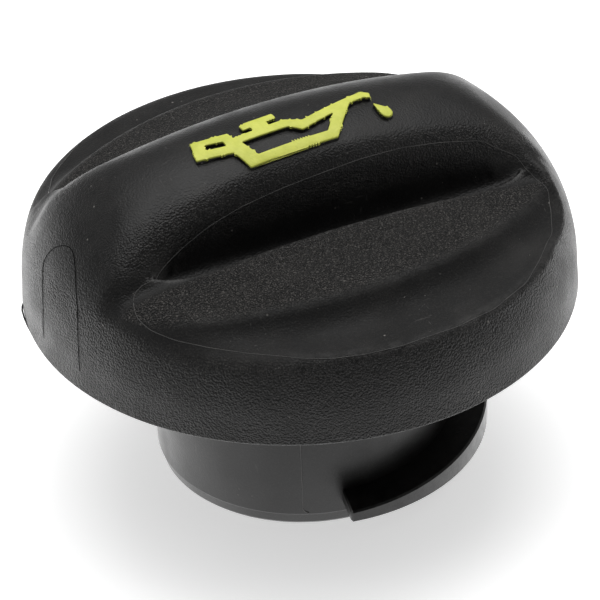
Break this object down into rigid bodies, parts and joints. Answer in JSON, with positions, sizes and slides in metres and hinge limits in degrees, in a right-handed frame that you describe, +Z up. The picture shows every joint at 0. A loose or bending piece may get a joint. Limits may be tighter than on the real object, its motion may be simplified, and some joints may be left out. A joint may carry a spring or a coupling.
{
  "type": "bayonet oil filler cap",
  "caption": "Round black grip cap with a raised bar between finger scoops, an oil-can symbol, and a neck with ramped bayonet lugs and a sealing ring.",
  "frame": {"origin": "centre of the neck's lower rim, on which the cap stands", "axes": "+Z up along the cap's axis towards the grip, +X along the grip bar"},
  "size_m": [0.067, 0.067, 0.0476],
  "materials": {
    "head_plastic": "fine moulded grain",
    "symbol_film": "printed film on the raised symbol",
    "neck_plastic": "smooth moulded",
    "seal_rubber": "smooth"
  },
  "bodies": {
    "root": {"grip_cap": "head_plastic", "can_film": "symbol_film", "drop_film": "symbol_film", "bayonet_neck": "neck_plastic", "sealing_ring": "seal_rubber"}
  },
  "joints": []
}
